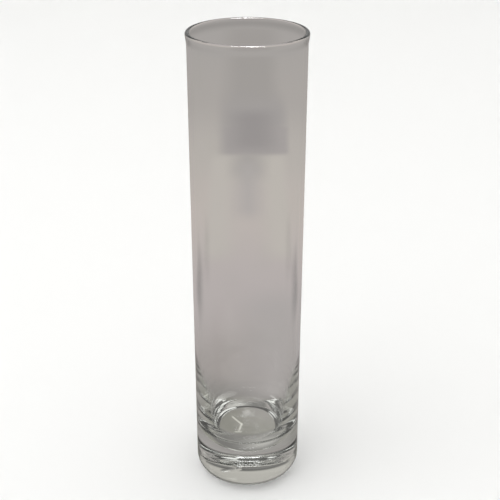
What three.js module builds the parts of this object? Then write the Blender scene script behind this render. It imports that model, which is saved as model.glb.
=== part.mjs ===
// Glass cylinder vase: a tall round tube of clear glass on a heavy, rounded base.
// Millimetres, +Z up, origin at the centre of the ring that the vase stands on.
// The real vase is one piece of glass. It is modelled in the four zones that its making gives it:
// the solid foot, the thick bowl above it, the even wall and the fire-polished rim.
// Neighbouring zones meet face to face on level planes, because the glass is continuous there.

import * as THREE from 'three';

// Driving dimensions
const HEIGHT = 305;
const OUTER_R = 35;
const WALL = 2.2;

// Underside: a shallow hollow inside the flat ring that the vase stands on, then the rounded heel
const HEEL_WIDTH = 14;
const HEEL_HEIGHT = 10;
const HOLLOW_R = 17;
const HOLLOW_DEPTH = 1;

// Inside of the base: the lowest point of the bowl, and where the bowl meets the tapering wall
const FLOOR_Z = 22;
const BOWL_EDGE_R = 29;
const BOWL_EDGE_Z = 48;
const TAPER_TOP_Z = 92;

// How much the inside radius falls for each millimetre down, where the taper runs into the bowl
const BOWL_EDGE_SLOPE = 0.12;

// How far the curves above and below that edge keep its slope, and how far the others run straight
const TAPER_STRAIGHT = 13.5;
const BOWL_STRAIGHT = 20;
const WALL_STRAIGHT = 14;
const FLOOR_STRAIGHT = 14;

// Rim: the wall leans out a little and ends in a rounded lip
const FLARE_HEIGHT = 8;
const FLARE_OUT = 0.7;
const LIP_THICKNESS = 2.6;

// How far the curve of the flare runs straight up where it leaves the wall and where it meets the lip
const FLARE_START_STRAIGHT = 2.7;
const FLARE_END_STRAIGHT = 2;

// Heights of the planes between the zones
const FOOT_TOP_Z = 18;
const RIM_BOTTOM_Z = HEIGHT - FLARE_HEIGHT;

const INNER_R = OUTER_R - WALL;
const LIP_OUTER_R = OUTER_R + FLARE_OUT;
const LIP_INNER_R = LIP_OUTER_R - LIP_THICKNESS;
const LIP_CENTRE_Z = HEIGHT - LIP_THICKNESS / 2;

// Fineness of the round and curved surfaces
const SEGMENTS = 72;
const CURVE_STEPS = 8;

// A profile is a list of [radius, height] points, walked so that the glass is on the left hand:
// outwards along the underside, up the outside, inwards over the top and down the inside.
const point = (radius, height) => new THREE.Vector2(radius, height);

function bezier(...controls) {
  return new THREE.CubicBezierCurve(...controls).getPoints(CURVE_STEPS);
}

function arc(centre, halfWidth, halfHeight, fromDegrees, toDegrees) {
  const from = THREE.MathUtils.degToRad(fromDegrees);
  const to = THREE.MathUtils.degToRad(toDegrees);
  const curve = new THREE.EllipseCurve(centre.x, centre.y, halfWidth, halfHeight, from, to);
  return curve.getPoints(CURVE_STEPS);
}

// Joins stretches of a profile, dropping the points where one stretch starts at another's end
function joined(...stretches) {
  const points = [];
  for (const next of stretches.flat()) {
    const last = points.at(-1);
    if (!last || last.distanceTo(next) > 1e-6) {
      points.push(next);
    }
  }
  return points;
}

// Shallow dome under the foot: its depth falls off as the square of the radius
function hollowUnderFoot() {
  const points = [];
  for (let step = 0; step <= CURVE_STEPS / 2; step += 1) {
    const share = step / (CURVE_STEPS / 2);
    points.push(point(HOLLOW_R * share, HOLLOW_DEPTH * (1 - share * share)));
  }
  return points;
}

// Rounded corner between the ring that the vase stands on and the straight outside
function heel() {
  const centre = point(OUTER_R - HEEL_WIDTH, HEEL_HEIGHT);
  return arc(centre, HEEL_WIDTH, HEEL_HEIGHT, -90, 0);
}

// Inside surface, downwards: the tube narrows as the glass thickens towards the base
function taper() {
  const edgeHandleR = BOWL_EDGE_R + BOWL_EDGE_SLOPE * TAPER_STRAIGHT;
  return bezier(
    point(INNER_R, TAPER_TOP_Z),
    point(INNER_R, TAPER_TOP_Z - WALL_STRAIGHT),
    point(edgeHandleR, BOWL_EDGE_Z + TAPER_STRAIGHT),
    point(BOWL_EDGE_R, BOWL_EDGE_Z),
  );
}

// Inside surface, downwards: the rounded bowl ends level at the axis
function bowl() {
  const edgeHandleR = BOWL_EDGE_R - BOWL_EDGE_SLOPE * BOWL_STRAIGHT;
  return bezier(
    point(BOWL_EDGE_R, BOWL_EDGE_Z),
    point(edgeHandleR, BOWL_EDGE_Z - BOWL_STRAIGHT),
    point(FLOOR_STRAIGHT, FLOOR_Z),
    point(0, FLOOR_Z),
  );
}

// Outside of the flare, upwards, curving away from the straight wall
function flareOutside() {
  return bezier(
    point(OUTER_R, RIM_BOTTOM_Z),
    point(OUTER_R, RIM_BOTTOM_Z + FLARE_START_STRAIGHT),
    point(LIP_OUTER_R, LIP_CENTRE_Z - FLARE_END_STRAIGHT),
    point(LIP_OUTER_R, LIP_CENTRE_Z),
  );
}

// Half round over the top, from the outside to the inside
function lip() {
  const centre = point((LIP_OUTER_R + LIP_INNER_R) / 2, LIP_CENTRE_Z);
  return arc(centre, LIP_THICKNESS / 2, LIP_THICKNESS / 2, 0, 180);
}

// Inside of the flare, downwards, back to the straight bore
function flareInside() {
  return bezier(
    point(LIP_INNER_R, LIP_CENTRE_Z),
    point(LIP_INNER_R, LIP_CENTRE_Z - FLARE_END_STRAIGHT),
    point(INNER_R, RIM_BOTTOM_Z + FLARE_START_STRAIGHT),
    point(INNER_R, RIM_BOTTOM_Z),
  );
}

const zones = {
  foot: joined(
    hollowUnderFoot(),
    heel(),
    [point(OUTER_R, FOOT_TOP_Z), point(0, FOOT_TOP_Z)],
  ),
  bowl: joined(
    [point(0, FOOT_TOP_Z), point(OUTER_R, FOOT_TOP_Z), point(OUTER_R, TAPER_TOP_Z)],
    taper(),
    bowl(),
  ),
  wall: [
    point(INNER_R, TAPER_TOP_Z),
    point(OUTER_R, TAPER_TOP_Z),
    point(OUTER_R, RIM_BOTTOM_Z),
    point(INNER_R, RIM_BOTTOM_Z),
    point(INNER_R, TAPER_TOP_Z),
  ],
  rim: joined(
    [point(INNER_R, RIM_BOTTOM_Z)],
    flareOutside(),
    lip(),
    flareInside(),
  ),
};

// Clear glass with a trace of green
function glass() {
  return new THREE.MeshStandardMaterial({
    color: new THREE.Color(0.86, 0.9, 0.87),
    roughness: 0.03,
    metalness: 0,
    transparent: true,
    opacity: 0.35,
  });
}

function revolved(name, profile) {
  const geometry = new THREE.LatheGeometry(profile, SEGMENTS);
  geometry.rotateX(Math.PI / 2);
  const mesh = new THREE.Mesh(geometry, glass());
  mesh.name = name;
  return mesh;
}

const group = new THREE.Group();
for (const [name, profile] of Object.entries(zones)) {
  group.add(revolved(name, profile));
}

export default group;
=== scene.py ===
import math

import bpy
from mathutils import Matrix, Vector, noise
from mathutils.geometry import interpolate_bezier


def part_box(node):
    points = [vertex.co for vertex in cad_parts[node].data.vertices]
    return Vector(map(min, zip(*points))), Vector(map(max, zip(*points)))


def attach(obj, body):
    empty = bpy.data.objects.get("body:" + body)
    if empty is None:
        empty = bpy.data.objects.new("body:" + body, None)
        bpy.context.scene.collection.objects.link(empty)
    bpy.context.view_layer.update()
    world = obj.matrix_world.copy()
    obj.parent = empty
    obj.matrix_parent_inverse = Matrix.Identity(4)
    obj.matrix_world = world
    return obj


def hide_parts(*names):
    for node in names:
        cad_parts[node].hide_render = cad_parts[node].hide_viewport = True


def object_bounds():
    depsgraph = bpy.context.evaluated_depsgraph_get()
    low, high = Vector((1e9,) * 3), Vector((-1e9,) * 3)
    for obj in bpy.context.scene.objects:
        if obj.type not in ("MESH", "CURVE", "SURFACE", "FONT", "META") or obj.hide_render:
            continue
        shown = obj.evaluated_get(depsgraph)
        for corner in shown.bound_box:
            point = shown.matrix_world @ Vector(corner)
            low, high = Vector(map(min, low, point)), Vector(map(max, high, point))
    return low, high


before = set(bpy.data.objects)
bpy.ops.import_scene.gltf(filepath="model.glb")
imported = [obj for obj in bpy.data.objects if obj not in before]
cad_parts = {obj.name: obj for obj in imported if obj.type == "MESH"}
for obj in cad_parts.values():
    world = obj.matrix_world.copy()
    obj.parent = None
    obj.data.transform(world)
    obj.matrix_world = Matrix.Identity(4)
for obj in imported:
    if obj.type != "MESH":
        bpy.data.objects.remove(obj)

# Glass cylinder vase. The four CAD zones are one continuous piece of glass, so one closed glass
# mesh stands for all of them: faces between the zones would show as mirrors inside the base.
# Metres, +Z up. The vase stands on z = 0 round the Z axis, and the camera looks along +Y.

MM = 0.001
cad_low, cad_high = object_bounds()

# Sizes that come from the CAD
HEIGHT = cad_high.z
OUTER_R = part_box("wall")[1].x
LIP_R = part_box("rim")[1].x
RIM_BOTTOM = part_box("rim")[0].z
TAPER_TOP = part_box("wall")[0].z

# Sizes of the glass that no CAD box gives
WALL = 2.2 * MM
LIP_THICKNESS = 2.6 * MM
HEEL_WIDTH = 14 * MM
HEEL_HEIGHT = 10 * MM
HOLLOW_R = 17 * MM
HOLLOW_DEPTH = 1 * MM
FLOOR_Z = 22 * MM
BOWL_EDGE_R = 29 * MM
BOWL_EDGE_Z = 48 * MM

# How much the inside radius falls for each metre down, where the taper runs into the bowl
BOWL_EDGE_SLOPE = 0.12

# How far each curve of the outline runs on straight from its ends
TAPER_STRAIGHT = 13.5 * MM
BOWL_STRAIGHT = 20 * MM
WALL_STRAIGHT = 14 * MM
FLOOR_STRAIGHT = 14 * MM
FLARE_START_STRAIGHT = 2.7 * MM
FLARE_END_STRAIGHT = 2 * MM

INNER_R = OUTER_R - WALL
MIDDLE_R = (INNER_R + OUTER_R) / 2
LIP_INNER_R = LIP_R - LIP_THICKNESS
LIP_CENTRE_Z = HEIGHT - LIP_THICKNESS / 2

# Fineness of the glass mesh
SEGMENTS = 192
UNDERSIDE_STEPS = 56
CURVE_STEPS = 24
BOWL_STEPS = 48
WALL_STEP = 6 * MM
SAME_POINT = 0.001 * MM

# Faint waves left in the wall when the hot glass was blown and turned
WAVE_DEPTH = 0.03 * MM
WAVES_ROUND = 2.2
WAVE_LENGTH = 60 * MM
WAVE_FADE = 15 * MM

# Crease left in the underside where the gob of glass was sheared off: a groove with one bend
CREASE_START = (-12 * MM, 12 * MM)
CREASE_BEND_IN = (0 * MM, 10 * MM)
CREASE_BEND_OUT = (-1 * MM, 6 * MM)
CREASE_END = (-10 * MM, -1 * MM)
CREASE_DEPTH = 0.25 * MM
CREASE_WIDTH = 1.0 * MM
CREASE_STEPS = 60


# ---------------------------------------------------------------- outline of the glass

def bezier(*points, steps=CURVE_STEPS):
    """Points along a cubic curve with four control points."""
    flat = [Vector(p) for p in points]
    return [(p.x, p.y) for p in interpolate_bezier(*flat, steps + 1)]


def arc(centre, half_width, half_height, start, end):
    """Points along an ellipse arc, between two angles in degrees."""
    points = []
    for step in range(CURVE_STEPS + 1):
        angle = math.radians(start + (end - start) * step / CURVE_STEPS)
        radius = centre[0] + half_width * math.cos(angle)
        points.append((radius, centre[1] + half_height * math.sin(angle)))
    return points


def straight(radius, start, end):
    """Points up or down a straight wall, close enough together to carry the waves."""
    steps = round(abs(end - start) / WALL_STEP)
    return [(radius, start + (end - start) * step / steps) for step in range(steps + 1)]


def hollow():
    """Shallow dome under the foot, from the axis to the ring that the vase stands on."""
    shares = [step / UNDERSIDE_STEPS for step in range(UNDERSIDE_STEPS + 1)]
    return [(HOLLOW_R * s, HOLLOW_DEPTH * (1 - s * s)) for s in shares]


def outside():
    """The underside, the heel, the wall and the flare, from the axis up to the lip."""
    heel = arc((OUTER_R - HEEL_WIDTH, HEEL_HEIGHT), HEEL_WIDTH, HEEL_HEIGHT, -90, 0)
    flare = bezier(
        (OUTER_R, RIM_BOTTOM),
        (OUTER_R, RIM_BOTTOM + FLARE_START_STRAIGHT),
        (LIP_R, LIP_CENTRE_Z - FLARE_END_STRAIGHT),
        (LIP_R, LIP_CENTRE_Z),
    )
    return hollow() + heel + straight(OUTER_R, HEEL_HEIGHT, RIM_BOTTOM) + flare


def lip():
    """Half round over the top, from the outside to the inside."""
    centre = ((LIP_R + LIP_INNER_R) / 2, LIP_CENTRE_Z)
    return arc(centre, LIP_THICKNESS / 2, LIP_THICKNESS / 2, 0, 180)


def inside():
    """The flare, the bore, the taper and the bowl, from the lip down to the axis."""
    flare = bezier(
        (LIP_INNER_R, LIP_CENTRE_Z),
        (LIP_INNER_R, LIP_CENTRE_Z - FLARE_END_STRAIGHT),
        (INNER_R, RIM_BOTTOM + FLARE_START_STRAIGHT),
        (INNER_R, RIM_BOTTOM),
    )
    taper = bezier(
        (INNER_R, TAPER_TOP),
        (INNER_R, TAPER_TOP - WALL_STRAIGHT),
        (BOWL_EDGE_R + BOWL_EDGE_SLOPE * TAPER_STRAIGHT, BOWL_EDGE_Z + TAPER_STRAIGHT),
        (BOWL_EDGE_R, BOWL_EDGE_Z),
    )
    bowl = bezier(
        (BOWL_EDGE_R, BOWL_EDGE_Z),
        (BOWL_EDGE_R - BOWL_EDGE_SLOPE * BOWL_STRAIGHT, BOWL_EDGE_Z - BOWL_STRAIGHT),
        (FLOOR_STRAIGHT, FLOOR_Z),
        (0, FLOOR_Z),
        steps=BOWL_STEPS,
    )
    return flare + straight(INNER_R, RIM_BOTTOM, TAPER_TOP) + taper + bowl


def profile():
    """The whole outline of the glass, walked with the glass on the left hand."""
    points = []
    for place in outside() + lip() + inside():
        if not points or math.dist(points[-1], place) > SAME_POINT:
            points.append(place)
    return points


# ---------------------------------------------------------------- glass mesh

CREASE = bezier(CREASE_START, CREASE_BEND_IN, CREASE_BEND_OUT, CREASE_END, steps=CREASE_STEPS)


def crease_rise(x, y):
    """How far the crease lifts the underside at a place: it is cut up into the foot."""
    gap = min(math.dist((x, y), place) for place in CREASE)
    return CREASE_DEPTH * math.exp(-((gap / CREASE_WIDTH) ** 2))


def wave(angle, height):
    """Faint change of the bore, which makes what shows through the wall swim a little.

    It dies away towards the rim and towards the taper.
    """
    nearest_end = min(height - TAPER_TOP, RIM_BOTTOM - height)
    share = max(0.0, min(1.0, nearest_end / WAVE_FADE))
    place = Vector((
        WAVES_ROUND * math.cos(angle),
        WAVES_ROUND * math.sin(angle),
        height / WAVE_LENGTH,
    ))
    return WAVE_DEPTH * share * noise.noise(place)


def round_point(radius, height, angle):
    """Where a point of an outline goes when it is turned round Z."""
    return (radius * math.cos(angle), radius * math.sin(angle), height)


def glass_point(radius, height, angle):
    """Where a point of the glass goes, with the waves of the bore and the crease underneath."""
    on_bore = radius < MIDDLE_R and TAPER_TOP < height < RIM_BOTTOM
    if on_bore:
        radius += wave(angle, height)
    x, y, height = round_point(radius, height, angle)
    on_underside = radius < HOLLOW_R and height <= HOLLOW_DEPTH
    if on_underside:
        height += crease_rise(x, y)
    return (x, y, height)


def piece_from(name, verts, faces):
    """An object in the scene with a smooth mesh."""
    mesh = bpy.data.meshes.new(name)
    mesh.from_pydata(verts, [], faces)
    mesh.update()
    mesh.shade_smooth()
    piece = bpy.data.objects.new(name, mesh)
    bpy.context.collection.objects.link(piece)
    return piece


def revolve(name, outline, place, segments):
    """A smooth mesh turned round Z from an outline of (radius, height) points."""
    verts = []
    faces = []
    rings = []
    for radius, height in outline:
        on_axis = radius < SAME_POINT
        rings.append((len(verts), on_axis))
        for step in range(1 if on_axis else segments):
            verts.append(place(radius, height, math.tau * step / segments))
    for (a, a_is_point), (b, b_is_point) in zip(rings, rings[1:]):
        for step in range(segments):
            after = (step + 1) % segments
            if a_is_point:
                faces.append((a, b + after, b + step))
            elif b_is_point:
                faces.append((a + step, a + after, b))
            else:
                faces.append((a + step, a + after, b + after, b + step))
    return piece_from(name, verts, faces)


# ---------------------------------------------------------------- shader helpers

def new_material(name):
    """A material with an empty tree and its output node."""
    material = bpy.data.materials.new(name)
    material.use_nodes = True
    tree = material.node_tree
    tree.nodes.clear()
    return material, tree, tree.nodes.new("ShaderNodeOutputMaterial")


def feed(tree, socket, value):
    """Links an output to a socket, or sets the socket to a number, vector or colour."""
    if isinstance(value, bpy.types.NodeSocket):
        tree.links.new(value, socket)
    elif socket.type == "RGBA":
        socket.default_value = (*value, 1)
    else:
        socket.default_value = value


def maths(tree, operation, *values):
    """The result of a Math node."""
    node = tree.nodes.new("ShaderNodeMath")
    node.operation = operation
    for socket, value in zip(node.inputs, values):
        feed(tree, socket, value)
    return node.outputs["Value"]


def vector_maths(tree, operation, *values):
    """The outputs of a Vector Math node, of which Vector or Value is the result."""
    node = tree.nodes.new("ShaderNodeVectorMath")
    node.operation = operation
    for socket, value in zip(node.inputs, values):
        feed(tree, socket, value)
    return node.outputs


def both(tree, first, second):
    """The share that two shares have together."""
    return maths(tree, "MULTIPLY", first, second)


def ease(tree, value, start, end, low=0.0, high=1.0):
    """low below start and high above end, with a smooth step between them."""
    node = tree.nodes.new("ShaderNodeMapRange")
    node.interpolation_type = "SMOOTHSTEP"
    feed(tree, node.inputs["Value"], value)
    feed(tree, node.inputs["From Min"], start)
    feed(tree, node.inputs["From Max"], end)
    feed(tree, node.inputs["To Min"], low)
    feed(tree, node.inputs["To Max"], high)
    return node.outputs["Result"]


def fade(tree, value, start, end):
    """1 below start and 0 above end."""
    return ease(tree, value, start, end, 1.0, 0.0)


def within(tree, value, low, high, soft):
    """1 between low and high, falling to 0 over the width of soft at each end."""
    middle = (low + high) / 2
    half = (high - low) / 2
    away = maths(tree, "ABSOLUTE", maths(tree, "SUBTRACT", value, middle))
    return fade(tree, away, half - soft / 2, half + soft / 2)


def blend_colours(tree, share, first, second):
    """first where share is 0 and second where it is 1.

    The Mix node has a set of sockets for each kind of value, so its colour sockets go by number.
    """
    node = tree.nodes.new("ShaderNodeMix")
    node.data_type = "RGBA"
    factor, colour_a, colour_b = (node.inputs[0], node.inputs[6], node.inputs[7])
    feed(tree, factor, share)
    feed(tree, colour_a, first)
    feed(tree, colour_b, second)
    return node.outputs[2]


def object_place(tree):
    """The place on the object, in metres, whole and as x, y and z."""
    place = tree.nodes.new("ShaderNodeTexCoord").outputs["Object"]
    parts = tree.nodes.new("ShaderNodeSeparateXYZ")
    tree.links.new(place, parts.inputs[0])
    return place, parts.outputs


def grain(tree, place, scale, detail, stretch=(1, 1, 1)):
    """Noise from 0 to 1. scale is in patches to the metre."""
    mapping = tree.nodes.new("ShaderNodeMapping")
    mapping.inputs["Scale"].default_value = stretch
    tree.links.new(place, mapping.inputs["Vector"])
    node = tree.nodes.new("ShaderNodeTexNoise")
    node.inputs["Scale"].default_value = scale
    node.inputs["Detail"].default_value = detail
    tree.links.new(mapping.outputs["Vector"], node.inputs["Vector"])
    return node.outputs["Fac"]


# ---------------------------------------------------------------- the vase and its glass

REFRACTION = 1.5

# Smudges: soft patches a few centimetres wide on the wall, where hands hold the vase
SMUDGES_PER_METRE = 28
SMUDGE_DETAIL = 4
SMUDGE_RANGE = (0.52, 0.72)
SMUDGE_ROUGHNESS = 0.035
SMUDGE_TINT = (0.985, 0.99, 0.985)
CLEAN_TINT = (1.0, 1.0, 1.0)

# Wear: the ring that the vase stands on is ground dull by every table it has met
WORN_BELOW = (0.05 * MM, 0.25 * MM)
SCUFFS_PER_METRE = 500
SCUFF_DETAIL = 3
SCUFF_RANGE = (0.40, 0.62)
SCUFF_ROUGHNESS = 0.12
SCUFF_PITS = 0.1

# Cords: faint upright ripples in the wall, as high above its surface as below
CORDS_PER_METRE = 45
CORD_DETAIL = 2
MIDDLE_GREY = 0.5
CORD_STRETCH = (1, 1, 0.25)
BUMP_STRENGTH = 0.25
BUMP_DEPTH = 0.12 * MM

# The green that shows where light has run a long way through the glass
GREEN = (0.88, 0.96, 0.92, 1)
GREEN_DENSITY = 3


def clear_glass():
    """Clear soda glass: smudged where hands hold it, scratched and frosted where it stands."""
    material, tree, output = new_material("clear_glass")
    shader = tree.nodes.new("ShaderNodeBsdfPrincipled")
    shader.inputs["IOR"].default_value = REFRACTION
    shader.inputs["Transmission Weight"].default_value = 1.0
    place, axes = object_place(tree)

    patches = ease(tree, grain(tree, place, SMUDGES_PER_METRE, SMUDGE_DETAIL), *SMUDGE_RANGE)
    on_wall = ease(tree, axes["Z"], BOWL_EDGE_Z, TAPER_TOP)
    smudge = both(tree, both(tree, patches, on_wall), SMUDGE_ROUGHNESS)
    low_down = fade(tree, axes["Z"], *WORN_BELOW)
    scuffs = ease(tree, grain(tree, place, SCUFFS_PER_METRE, SCUFF_DETAIL), *SCUFF_RANGE)
    worn = both(tree, low_down, scuffs)
    wear = both(tree, worn, SCUFF_ROUGHNESS)
    feed(tree, shader.inputs["Roughness"], maths(tree, "ADD", smudge, wear))
    feed(tree, shader.inputs["Base Color"], blend_colours(tree, patches, CLEAN_TINT, SMUDGE_TINT))

    ripple = grain(tree, place, CORDS_PER_METRE, CORD_DETAIL, CORD_STRETCH)
    cords = both(tree, maths(tree, "SUBTRACT", ripple, MIDDLE_GREY), on_wall)
    pits = both(tree, worn, SCUFF_PITS)
    bump = tree.nodes.new("ShaderNodeBump")
    bump.inputs["Strength"].default_value = BUMP_STRENGTH
    bump.inputs["Distance"].default_value = BUMP_DEPTH
    feed(tree, bump.inputs["Height"], maths(tree, "ADD", cords, pits))
    tree.links.new(bump.outputs["Normal"], shader.inputs["Normal"])

    absorption = tree.nodes.new("ShaderNodeVolumeAbsorption")
    absorption.inputs["Color"].default_value = GREEN
    absorption.inputs["Density"].default_value = GREEN_DENSITY
    tree.links.new(shader.outputs[0], output.inputs["Surface"])
    tree.links.new(absorption.outputs[0], output.inputs["Volume"])
    return material


def vase():
    """The one piece of glass."""
    piece = revolve("vase_glass", profile(), glass_point, SEGMENTS)
    piece.data.materials.append(clear_glass())
    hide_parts("foot", "bowl", "wall", "rim")
    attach(piece, "root")


# ---------------------------------------------------------------- studio

# The studio is a pale floor that curves up into a round backdrop. The camera sees it, and the
# glass doesn't: pale on every side, glass would vanish. It sees a grey table and a dim room.
STUDIO_R = 2.2
COVE_R = 1.0
COVE_STEPS = 24
STUDIO_TOP = 3.5
STUDIO_SEGMENTS = 96
FLOOR_GAP = 0.2 * MM
PALE = (0.86, 0.86, 0.855)


def pale_paper():
    """Matt paper, a little under white."""
    material, tree, output = new_material("pale_paper")
    shader = tree.nodes.new("ShaderNodeBsdfDiffuse")
    feed(tree, shader.inputs["Color"], PALE)
    tree.links.new(shader.outputs[0], output.inputs["Surface"])
    return material


def studio():
    """Pale floor and backdrop in one sweep."""
    outline = [(0, -FLOOR_GAP), (STUDIO_R / 2, -FLOOR_GAP)]
    for step in range(COVE_STEPS + 1):
        angle = math.radians(90 * step / COVE_STEPS)
        radius = STUDIO_R + COVE_R * math.sin(angle)
        outline.append((radius, COVE_R * (1 - math.cos(angle)) - FLOOR_GAP))
    outline.append((STUDIO_R + COVE_R, STUDIO_TOP))
    floor = revolve("studio_floor", outline, round_point, STUDIO_SEGMENTS)
    floor.data.materials.append(pale_paper())
    floor.visible_transmission = False
    floor.visible_glossy = False


# ---------------------------------------------------------------- table seen in the glass

TABLE_R = 12.0
TABLE_DROP = 2 * FLOOR_GAP

# The table's grey, outwards from the vase: darker under and close round the foot, which is
# painted shade, and paler further out. (distance, colour)
TABLE_BANDS = (
    # the first two bands are painted shade under the foot and close round it
    (0.035, (0.28, 0.275, 0.24)),
    (0.055, (0.26, 0.25, 0.235)),
    (0.11, (0.36, 0.33, 0.315)),
    (0.25, (0.46, 0.42, 0.41)),
    (0.45, (0.50, 0.455, 0.425)),
    (0.62, (0.46, 0.43, 0.40)),
    (0.86, (0.40, 0.375, 0.355)),
    (1.3, (0.38, 0.36, 0.345)),
    (2.2, (0.24, 0.23, 0.22)),
)

# Paler and darker places on the table, later ones over earlier ones:
# (x range), (y range), (soft in x, soft in y), colour
TABLE_PATCHES = (
    # a cooler place close behind the vase, to the right
    ((0.00, 0.16), (0.03, 0.24), (0.06, 0.06), (0.41, 0.385, 0.375)),
    # shade under the front of the foot, and light beside it
    ((-0.060, 0.060), (-0.070, 0.003), (0.030, 0.012), (0.19, 0.185, 0.175)),
    ((0.005, 0.110), (-0.100, -0.012), (0.060, 0.050), (0.62, 0.605, 0.57)),
    # two warm streaks further back, with a dim one between them
    ((-0.075, -0.025), (0.32, 0.61), (0.045, 0.045), (0.495, 0.465, 0.43)),
    ((0.030, 0.080), (0.32, 0.61), (0.045, 0.045), (0.50, 0.470, 0.432)),
    ((-0.022, 0.024), (0.54, 0.62), (0.050, 0.050), (0.37, 0.350, 0.335)),
    ((-0.014, 0.016), (0.42, 0.58), (0.050, 0.050), (0.41, 0.385, 0.375)),
    # a dark mat across the back, and the dimmer table behind it
    ((-0.048, 0.070), (0.75, 1.35), (0.070, 0.250), (0.345, 0.325, 0.31)),
    ((-0.050, 0.098), (0.69, 0.85), (0.060, 0.140), (0.350, 0.330, 0.322)),
    ((-0.050, 0.098), (0.614, 0.72), (0.034, 0.020), (0.360, 0.336, 0.330)),
    ((-0.030, 0.050), (0.630, 0.79), (0.070, 0.070), (0.290, 0.272, 0.270)),
    # a dark thing on each side, which the edges of the tube show as slivers
    ((-0.340, -0.215), (0.08, 0.18), (0.080, 0.080), (0.02, 0.03, 0.03)),
    ((0.215, 0.340), (0.07, 0.17), (0.080, 0.080), (0.03, 0.04, 0.04)),
)

# Light that the crease under the foot throws on the table, as strokes: (start, end)
STROKES = (
    ((-17 * MM, 29 * MM), (-6 * MM, 20 * MM)),
    ((-6 * MM, 20 * MM), (-9 * MM, 12 * MM)),
    ((-13 * MM, 9 * MM), (-7 * MM, 10 * MM)),
)
STROKE_WIDTH = 1.6 * MM
STROKE_CORE = 0.2 * STROKE_WIDTH
STROKE_LIGHT = (0.68, 0.67, 0.60)


def banded(tree, place):
    """The table's colour by its distance from the vase, with painted shade under and close round
    the foot.
    """
    distance = vector_maths(tree, "LENGTH", place)["Value"]
    colour = TABLE_BANDS[0][1]
    for (start, _), (end, shade) in zip(TABLE_BANDS, TABLE_BANDS[1:]):
        colour = blend_colours(tree, ease(tree, distance, start, end), colour, shade)
    return colour


def stroke(tree, place, start, end):
    """1 along a straight stroke on the table, falling to 0 at its edges."""
    along = Vector((*end, 0)) - Vector((*start, 0))
    from_start = vector_maths(tree, "SUBTRACT", place, (*start, 0))["Vector"]
    share = vector_maths(tree, "DOT_PRODUCT", from_start, along / along.length_squared)["Value"]
    share = maths(tree, "MINIMUM", maths(tree, "MAXIMUM", share, 0), 1)
    nearest = vector_maths(tree, "MULTIPLY", along, share)["Vector"]
    gap = vector_maths(tree, "DISTANCE", from_start, nearest)["Value"]
    return fade(tree, gap, STROKE_CORE, STROKE_WIDTH)


def table_light():
    """The table's colours, given off as light."""
    material, tree, output = new_material("table_light")
    place, axes = object_place(tree)
    colour = banded(tree, place)
    for x_range, y_range, (soft_x, soft_y), shade in TABLE_PATCHES:
        across = within(tree, axes["X"], *x_range, soft_x)
        along = within(tree, axes["Y"], *y_range, soft_y)
        colour = blend_colours(tree, both(tree, across, along), colour, shade)
    for start, end in STROKES:
        colour = blend_colours(tree, stroke(tree, place, start, end), colour, STROKE_LIGHT)
    light = tree.nodes.new("ShaderNodeEmission")
    feed(tree, light.inputs["Color"], colour)
    tree.links.new(light.outputs[0], output.inputs["Surface"])
    material.cycles.emission_sampling = "NONE"
    return material


def table():
    """A flat table that only the glass sees."""
    corners = ((-1, -1), (1, -1), (1, 1), (-1, 1))
    verts = [(x * TABLE_R, y * TABLE_R, -TABLE_DROP) for x, y in corners]
    top = piece_from("table_seen_in_glass", verts, [(0, 1, 2, 3)])
    top.data.materials.append(table_light())
    top.visible_camera = False
    top.visible_diffuse = False
    top.visible_shadow = False


# ---------------------------------------------------------------- room seen in the glass

# Directions are in degrees. Azimuth 0 is straight behind the vase, and 90 is to its right.
# The far wall's colour changes to the room's between the elevations of its top, and the room
# grows paler over the elevations of its rise.
FAR_WALL = (0.24, 0.23, 0.22)
FAR_WALL_TOP = (9, 13)
ROOM_LOW = (0.045, 0.045, 0.043)
ROOM_HIGH = (0.10, 0.10, 0.096)
ROOM_RISE = (20, 60)

# Places in the room: (azimuths), (elevations), soft, colour
ROOM_PATCHES = (
    # the wall behind the vase, dimmer low down
    ((-60, 60), (10, 34), 6, (0.20, 0.195, 0.185)),
    ((-75, 75), (37, 80), 6, (0.50, 0.48, 0.44)),
    # a window in front on the right, and a smaller one on the left
    ((120, 160), (35, 64), 5, (1.02, 1.01, 0.97)),
    ((-136, -114), (31, 50), 5, (0.94, 0.93, 0.90)),
)

# What lights the studio from every side, and what the glass shows in reflection
SOFT_WHITE = (1.32, 1.32, 1.31)
SHEEN = (0.62, 0.62, 0.61)


def room_colour(tree):
    """The room's colour by direction."""
    parts = tree.nodes.new("ShaderNodeSeparateXYZ")
    direction = tree.nodes.new("ShaderNodeTexCoord").outputs["Generated"]
    tree.links.new(direction, parts.inputs[0])
    x, y, z = parts.outputs
    elevation = maths(tree, "DEGREES", maths(tree, "ARCSINE", z))
    azimuth = maths(tree, "DEGREES", maths(tree, "ARCTAN2", x, y))
    walls = blend_colours(tree, ease(tree, elevation, *ROOM_RISE), ROOM_LOW, ROOM_HIGH)
    colour = blend_colours(tree, ease(tree, elevation, *FAR_WALL_TOP), FAR_WALL, walls)
    for azimuths, elevations, soft, shade in ROOM_PATCHES:
        across = within(tree, azimuth, *azimuths, soft)
        up = within(tree, elevation, *elevations, soft)
        colour = blend_colours(tree, both(tree, across, up), colour, shade)
    return colour


def room():
    """The world: even and pale for the studio, and a dim room with windows for the glass."""
    world = bpy.data.worlds.new("room")
    bpy.context.scene.world = world
    world.use_nodes = True
    tree = world.node_tree
    rays = tree.nodes.new("ShaderNodeLightPath").outputs
    for_glass = blend_colours(tree, rays["Is Reflection Ray"], room_colour(tree), SHEEN)
    for_studio = maths(tree, "MAXIMUM", rays["Is Camera Ray"], rays["Is Diffuse Ray"])
    colour = blend_colours(tree, for_studio, for_glass, SOFT_WHITE)
    feed(tree, tree.nodes["Background"].inputs["Color"], colour)


# ---------------------------------------------------------------- lamps

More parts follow.
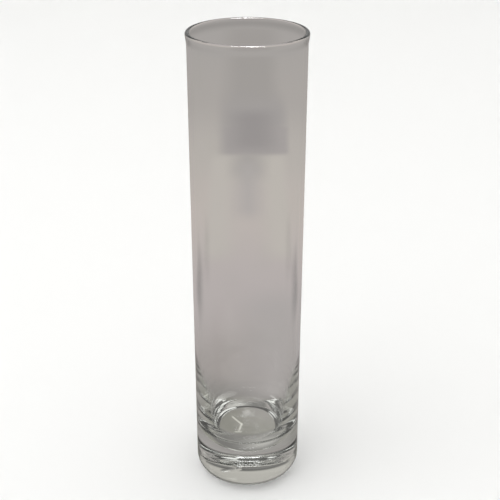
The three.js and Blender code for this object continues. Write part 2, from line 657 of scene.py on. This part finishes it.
# A soft key for the studio floor, and an overhead lamp that only glints on the rim
KEY_PLACE = (-1.0, -0.6, 1.9)
KEY_SIZE = (1.6, 1.6)
KEY_POWER = 9
GLINT_PLACE = (0.05, -0.10, 1.6)
GLINT_SIZE = (0.60, 1.0)
GLINT_POWER = 40


def softbox(name, place, aim, size, power, for_glass):
    """A rectangular lamp that the camera never sees. It lights the studio, or glints on glass."""
    data = bpy.data.lights.new(name, "AREA")
    data.shape = "RECTANGLE"
    data.size, data.size_y = size
    data.energy = power
    lamp = bpy.data.objects.new(name, data)
    bpy.context.collection.objects.link(lamp)
    lamp.location = place
    lamp.rotation_euler = (Vector(aim) - Vector(place)).to_track_quat("-Z", "Y").to_euler()
    lamp.visible_camera = False
    lamp.visible_diffuse = not for_glass
    lamp.visible_glossy = for_glass
    lamp.visible_transmission = False


def lamps():
    """Both lamps."""
    softbox("studio_key", KEY_PLACE, (0, 0, HEIGHT / 2), KEY_SIZE, KEY_POWER, False)
    softbox("rim_glint", GLINT_PLACE, (0, 0, HEIGHT), GLINT_SIZE, GLINT_POWER, True)


# ---------------------------------------------------------------- camera

# The camera's place is in diameters of the vase. Its tilt is in degrees below level.
DIAMETER = 2 * OUTER_R
CAMERA_BACK = 7.68 * DIAMETER
CAMERA_UP = 6.18 * DIAMETER
CAMERA_TILT = 26.38
CAMERA_LENS = 68.26
CAMERA_SENSOR = 36
CAMERA_SHIFT = 0.0052


def camera():
    """Looks down at the vase from in front, as someone standing at the table does."""
    data = bpy.data.cameras.new("camera")
    data.sensor_width = CAMERA_SENSOR
    data.lens = CAMERA_LENS
    data.shift_x = CAMERA_SHIFT
    eye = bpy.data.objects.new("camera", data)
    bpy.context.collection.objects.link(eye)
    eye.location = (0, -CAMERA_BACK, CAMERA_UP)
    eye.rotation_euler = (math.radians(90 - CAMERA_TILT), 0, 0)
    bpy.context.scene.camera = eye


# How often a ray may be bent or mirrored, and how bright one bounce may be
GLASS_BOUNCES = 32
MIRROR_BOUNCES = 16
BRIGHTEST_BOUNCE = 4


def light_paths():
    """Enough bounces for light to cross the thick base, and colours kept as they are."""
    scene = bpy.context.scene
    scene.cycles.max_bounces = GLASS_BOUNCES
    scene.cycles.transmission_bounces = GLASS_BOUNCES
    scene.cycles.glossy_bounces = MIRROR_BOUNCES
    scene.cycles.sample_clamp_indirect = BRIGHTEST_BOUNCE
    scene.view_settings.view_transform = "Standard"


vase()
studio()
table()
room()
lamps()
camera()
light_paths()
